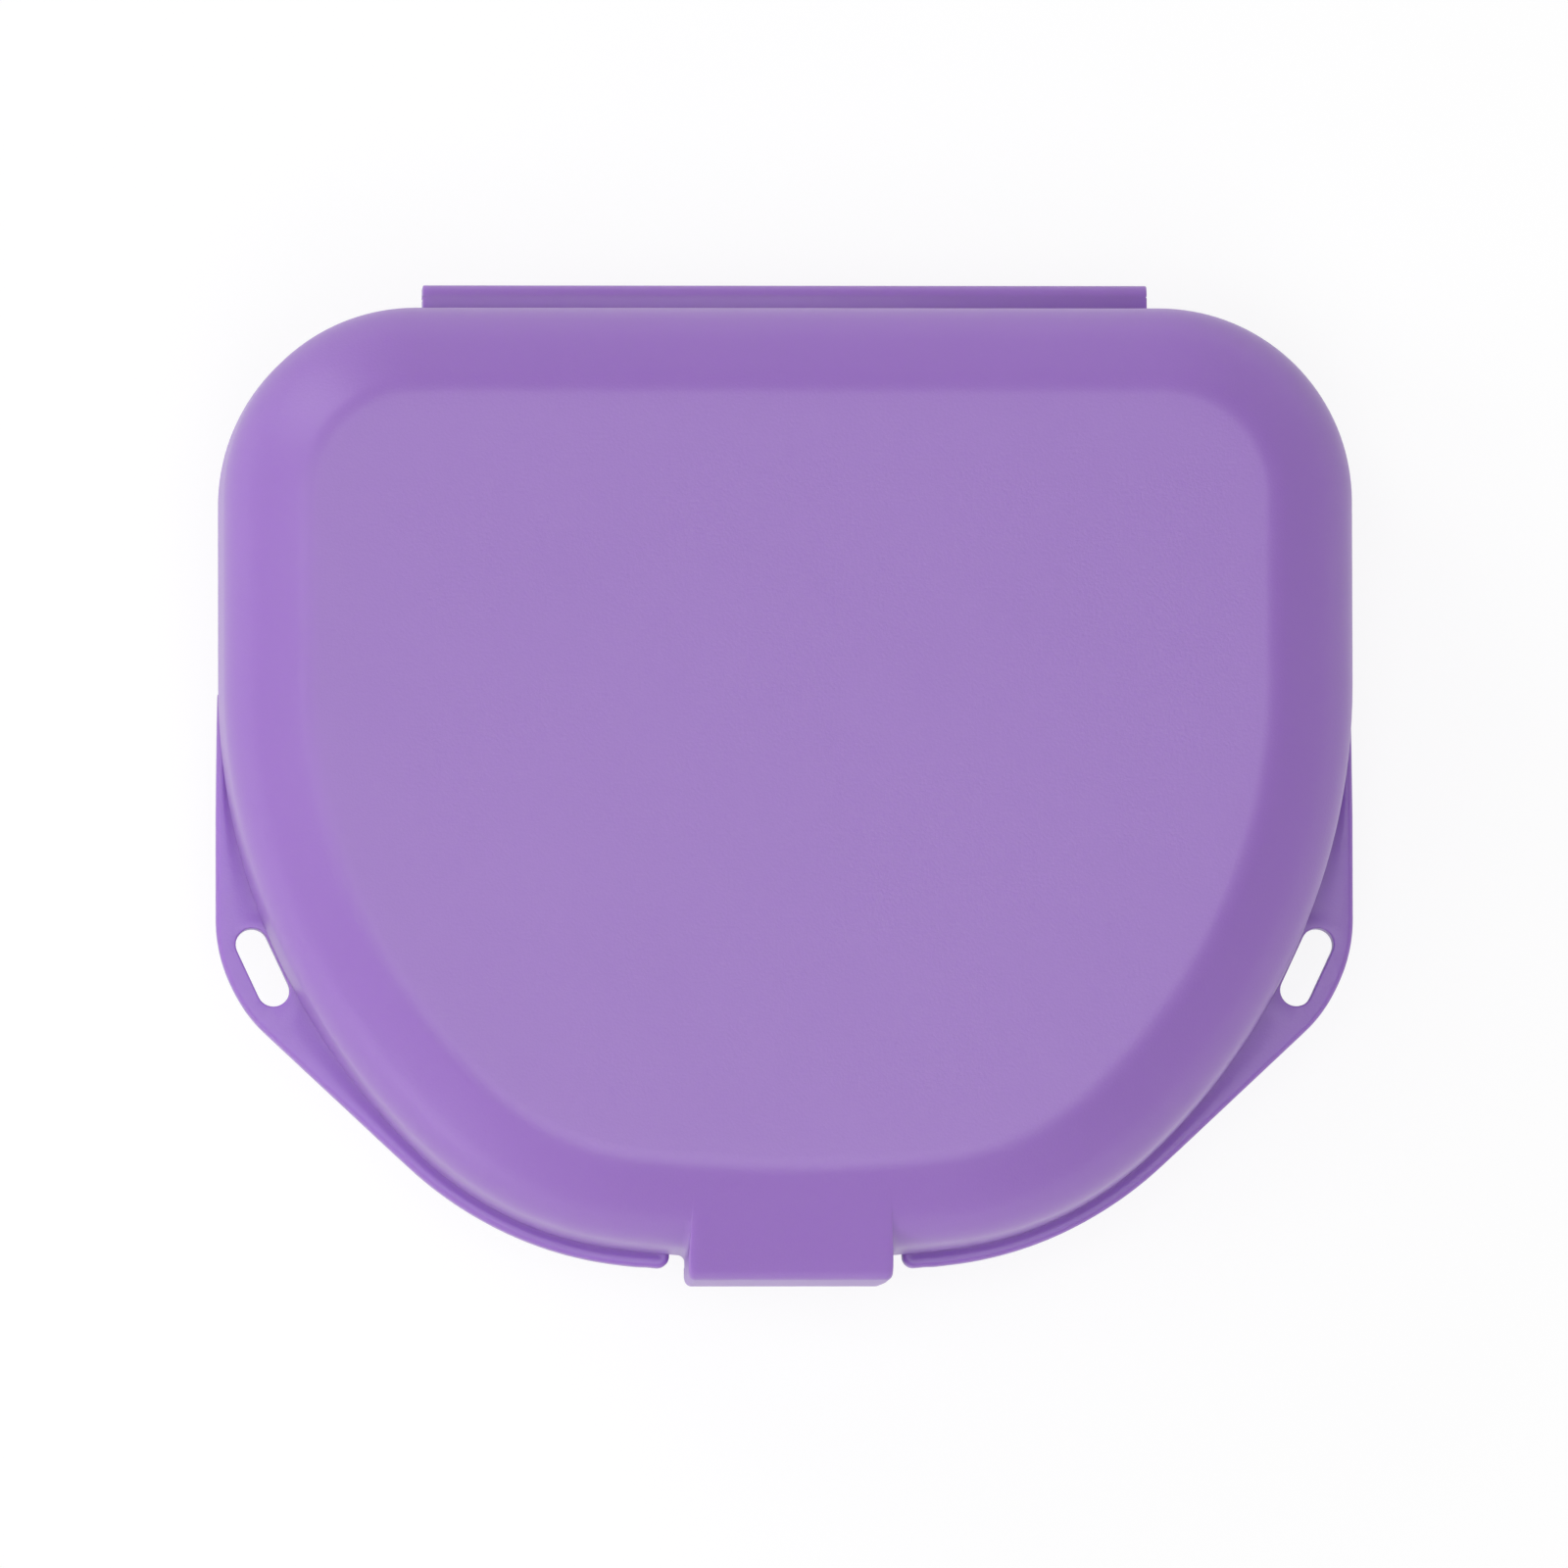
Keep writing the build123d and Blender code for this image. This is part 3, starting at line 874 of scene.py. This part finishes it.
def flangeGrid(stations, sizes):  # points across the flange at each station, with the lip and the slope there
    edge, steps, rootSteps = sizes["edge"], sizes["edgeSteps"], sizes["rootSteps"]
    rounded = [edge * (1 - math.cos(math.radians(90 * step / steps))) for step in range(steps + 1)]
    least, most = sizes["slope"]
    rows, lips, slopes = [], [], []
    for point, wall in stations:
        gap = wall - point
        length = math.hypot(*gap)
        inward = gap / length
        total = length + sizes["rootDepth"]
        lip = max(sizes["lip"] + sizes["lipShare"] * length, edge)
        slope = min(max(length - lip, least), most)
        sloped = [lip + slope * step / sizes["slopeSteps"] for step in range(sizes["slopeSteps"] + 1)]
        places = [min(place, total) for place in rounded + sloped]
        places += [places[-1] + (total - places[-1]) * step / rootSteps for step in range(1, rootSteps + 1)]
        rows.append([point + inward * place for place in places])
        lips += [lip] * len(places)
        slopes += [slope] * len(places)
    return np.array(rows), np.array(lips), np.array(slopes)


def flangeHeights(stations, flat, lips, slopes, pad, sizes):
    outer = np.array([stations[0][1]] + [station[0] for station in stations])
    spots = flat.reshape(-1, 2)
    far = lineDistance(spots, outer)
    padPoint, padAlong, padTop = pad
    low = smoothRamp(-((spots - padPoint) @ padAlong) / sizes["padSlope"])
    high = smoothRamp((spots[:, 1] - padTop) / sizes["padSlope"])
    recess = sizes["depth"] * smoothRamp((far - lips) / slopes) * np.maximum(low, high)
    edge = sizes["edge"]
    fillet = edge - np.sqrt(np.maximum(edge ** 2 - (edge - np.minimum(far, edge)) ** 2, 0))
    top = sizes["top"] - fillet - recess
    bottom = sizes["bottom"] + np.maximum(sizes["lowEdge"] - far, 0)
    return top.reshape(flat.shape[:2]), bottom.reshape(flat.shape[:2])


def slotRing(sizes, side, out):  # the slot's outline, grown outwards by a little
    angle = math.radians(sizes["slotAngle"])
    away = np.array((math.cos(angle), -math.sin(angle)))
    along = np.array((math.sin(angle), math.cos(angle)))
    middle = side + (outlineSizes["sideRadius"] + sizes["slotToWall"] + sizes["slotWidth"] / 2) * away
    radius, half = sizes["slotWidth"] / 2 + out, (sizes["slotLength"] - sizes["slotWidth"]) / 2
    ring = []
    for sign in (1, -1):
        for step in range(sizes["slotSteps"] + 1):
            turn = math.radians(180 * step / sizes["slotSteps"])
            spot = half * along + radius * (math.cos(turn) * away + math.sin(turn) * along)
            ring.append(middle + sign * spot)
    return ring


def slotRings(sizes, side):  # from the slot's rounded top edge down to its rounded bottom edge
    rings, steps = [], sizes["slotEdgeSteps"]
    for level in (1, -1):
        for step in range(steps + 1):
            angle = math.radians(90 * (step if level > 0 else steps - step) / steps)
            out = sizes["slotEdge"] * (1 - math.sin(angle))
            drop = sizes["slotEdge"] * (1 - math.cos(angle))
            z = sizes["top"] - drop if level > 0 else sizes["bottom"] + drop
            rings.append([(x, y, z) for x, y in slotRing(sizes, side, out)])
    return rings


def fillPad(work, level, ring, padFirst, padLast, rim):  # the ear's flat face, between its border and the slot
    border = [row[rim] for row in level[padFirst:padLast + 1]] + level[padLast][rim + 1:]
    border += [row[-1] for row in level[padLast - 1:padFirst - 1:-1]] + level[padFirst][rim + 1:-1][::-1]
    edges = []
    for loop in (border, ring):
        for step in range(len(loop)):
            ends = (loop[step - 1], loop[step])
            edges.append(work.edges.get(ends) or work.edges.new(ends))
    bmesh.ops.triangle_fill(work, edges=edges, use_beauty=True, use_dissolve=False)


def addFlange(name, sizes, sign):
    stations, padFirst, padLast, pad = flangeStations(sizes, outlineSizes)
    flat, lips, slopes = flangeGrid(stations, sizes)
    count, columns = flat.shape[:2]
    rim = sizes["edgeSteps"]  # the last column of the rounded edge
    work = bmesh.new()
    levels = []
    for heights in flangeHeights(stations, flat, lips, slopes, pad, sizes):
        rows = []
        for points, line in zip(flat, heights):
            rows.append([work.verts.new((sign * x, y, z)) for (x, y), z in zip(points, line)])
        levels.append(rows)
    upper, lower = levels
    for index in range(count - 1):
        end = rim if padFirst <= index < padLast else columns - 1
        for level in levels:
            near, after = level[index], level[index + 1]
            for step in range(end):
                work.faces.new((near[step], near[step + 1], after[step + 1], after[step]))
        for column in (0, columns - 1):
            high, low = upper[index][column], lower[index][column]
            work.faces.new((high, upper[index + 1][column], lower[index + 1][column], low))
    for end in (0, count - 1):
        for step in range(columns - 1):
            work.faces.new((upper[end][step], upper[end][step + 1], lower[end][step + 1], lower[end][step]))
    side = outlineArcs(outlineSizes)[2]
    rings = []
    for ring in slotRings(sizes, side):
        rings.append([work.verts.new((sign * x, y, z)) for x, y, z in ring])
    for near, after in zip(rings, rings[1:]):
        for step in range(len(near)):
            work.faces.new((near[step], near[step - 1], after[step - 1], after[step]))
    fillPad(work, upper, rings[0], padFirst, padLast, rim)
    fillPad(work, lower, rings[-1], padFirst, padLast, rim)
    made = finishMesh(name, work, sizes["sharpAngle"])
    made.modifiers.new("flatFaces", "WEIGHTED_NORMAL").keep_sharp = True
    return made


def smoothCopy(name, node):  # a plain small solid, shown as it is
    work = bmesh.new()
    work.from_mesh(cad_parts[node].data)
    return finishMesh(name, work)


leftFlange = addFlange("leftFlange", flangeSizes, -1)
rightFlange = addFlange("rightFlange", flangeSizes, 1)
ridge = smoothCopy("catchRidge", "catch_ridge")
print("flanges made")


# What each piece rides on and stands for; the latch and the two films are only baked in place, and the bodies
# and lines listed for them are not used

for piece, body, nodes in (
    (tray, "base", ("base_tray",)),
    (tongue, "base", ("locating_tongue",)),
    (leftFlange, "base", ("left_lanyard_flange",)),
    (rightFlange, "base", ("right_lanyard_flange",)),
    (ridge, "base", ("catch_ridge",)),
    (trayLedge, "base", ("base_hinge_flange",)),
    (strap, "hinge_strap", ("hinge_strap",)),
    (lid, "lid", ("lid_shell",)),
    (lidLedge, "lid", ("lid_hinge_flange",)),
):
    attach(piece, body)
    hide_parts(*nodes)
neckY = latchSizes["face"] + latchSizes["neck"] / 2
neckTop, neckLow = (0.0, neckY, shellSizes["Rim"]), (0.0, neckY, latchSizes["neckBottom"])
foldInner = hingeSizes["foldY"]
foldOuter = hingeSizes["foldY"] + hingeSizes["outerRadius"] - hingeSizes["film"] / 2
foldLow = hingeSizes["strapBottom"] - hingeSizes["outerRadius"] + hingeSizes["film"] / 2
foldHigh = 2 * shellSizes["Rim"] - foldLow
lowStart, lowEnd = (0, foldInner, foldLow), (0, foldOuter, strapBottom)
highStart, highEnd = (0, foldOuter, strapTop), (0, foldInner, foldHigh)
for piece, first, second, start, end, nodes in (
    (latch, "lid", "latch_tab", neckTop, neckLow, ("latch_neck", "latch_tab")),
    (lowerFilm, "base", "hinge_strap", lowStart, lowEnd, ("lower_fold_film",)),
    (upperFilm, "hinge_strap", "lid", highStart, highEnd, ("upper_fold_film",)),
):
    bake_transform(piece)
    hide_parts(*nodes)
print("pieces attached")


# Studio: white floor and surroundings, soft lamps

studio = {
    "floorAlbedo": 0.92,
    "floorShare": 0.16,
    "floorGlow": 0.87,
    "floorLevel": -0.0002,
    "floorHalf": 2.0,
    "speckScale": 60.0,
    "speckTones": ((0.98, 0.98, 0.98, 1), (1, 1, 1, 1)),
    "skyHigh": 0.175,
    "skyLow": 1.4,
    "skyEnds": (0.1, 0.35),
    "lamps": (
        ("topLamp", (0.0, 0.0, 1.0), 1.88),
        ("topLeftLamp", (-0.375, 0.0, 0.927), 0.95),
        ("frontLamp", (0.0, -0.375, 0.927), 2.05),
        ("leftLamp", (-0.669, 0.0, 0.743), 1.17),
        ("rearLeftLamp", (-0.612, 0.612, 0.5), 1.85),
        ("lowLeftLamp", (-0.686, -0.686, 0.242), 0.98),
    ),
    "lampWidth": 0.45,
}


def seenRays(board):
    rays = board.node("ShaderNodeLightPath")
    both = board.maths("MAXIMUM", rays.output("Is Camera Ray"), rays.output("Is Glossy Ray"))
    return board.maths("MAXIMUM", both, rays.output("Is Transmission Ray"))


def addFloor(sizes):  # pale to the camera, a plain white surface to all other light
    material = bpy.data.materials.new("paleFloor")
    material.use_nodes = True
    material.node_tree.nodes.clear()
    board = Board(material.node_tree)
    speck = board.node("ShaderNodeTexNoise", {}, {"Scale": sizes["speckScale"]})
    low, high = sizes["speckTones"]
    colour = board.node("ShaderNodeMix", {"data_type": "RGBA"}, {0: speck, 6: low, 7: high})
    unseen = board.node("ShaderNodeBsdfDiffuse", {}, {"Color": (sizes["floorAlbedo"],) * 3 + (1,)})
    shade = board.node("ShaderNodeBsdfDiffuse", {}, {"Color": (sizes["floorShare"],) * 3 + (1,)})
    glow = board.node("ShaderNodeEmission", {}, {"Color": colour.output(2), "Strength": sizes["floorGlow"]})
    both = board.node("ShaderNodeAddShader", {}, {0: shade, 1: glow})
    mixed = board.node("ShaderNodeMixShader", {}, {0: seenRays(board), 1: unseen, 2: both})
    below = board.node("ShaderNodeNewGeometry").output("Backfacing")
    clear = board.node("ShaderNodeBsdfTransparent")
    mixed = board.node("ShaderNodeMixShader", {}, {0: below, 1: mixed, 2: clear})
    board.node("ShaderNodeOutputMaterial", {}, {"Surface": mixed})
    work = bmesh.new()
    bmesh.ops.create_grid(work, x_segments=1, y_segments=1, size=sizes["floorHalf"])
    mesh = bpy.data.meshes.new("floor")
    work.to_mesh(mesh)
    work.free()
    mesh.materials.append(material)
    for vertex in mesh.vertices:
        vertex.co.z = sizes["floorLevel"]
    floor = bpy.data.objects.new("floor", mesh)
    bpy.context.scene.collection.objects.link(floor)


def addSky(sizes):  # brighter near the horizon
    world = bpy.data.worlds.new("studio")
    bpy.context.scene.world = world
    world.use_nodes = True
    world.node_tree.nodes.clear()
    board = Board(world.node_tree)
    height = board.node("ShaderNodeSeparateXYZ", {}, {0: board.node("ShaderNodeTexCoord")}).output("Z")
    strength = board.node("ShaderNodeMapRange", {"interpolation_type": "SMOOTHSTEP"}, {
        "Value": height, "From Min": sizes["skyEnds"][0], "From Max": sizes["skyEnds"][1],
        "To Min": sizes["skyLow"], "To Max": sizes["skyHigh"]})
    sky = board.node("ShaderNodeBackground", {}, {"Color": (1, 1, 1, 1), "Strength": strength})
    board.node("ShaderNodeOutputWorld", {}, {"Surface": sky})


def addLamps(sizes):
    for name, place, power in sizes["lamps"]:
        data = bpy.data.lights.new(name, "AREA")
        data.shape = "DISK"
        data.size = sizes["lampWidth"]
        data.energy = power
        lamp = bpy.data.objects.new(name, data)
        bpy.context.scene.collection.objects.link(lamp)
        lamp.location = place
        lamp.rotation_euler = (-Vector(place)).to_track_quat("-Z", "Y").to_euler()


addFloor(studio)
addSky(studio)
addLamps(studio)
bpy.context.scene.view_settings.view_transform = "Standard"
print("studio set")
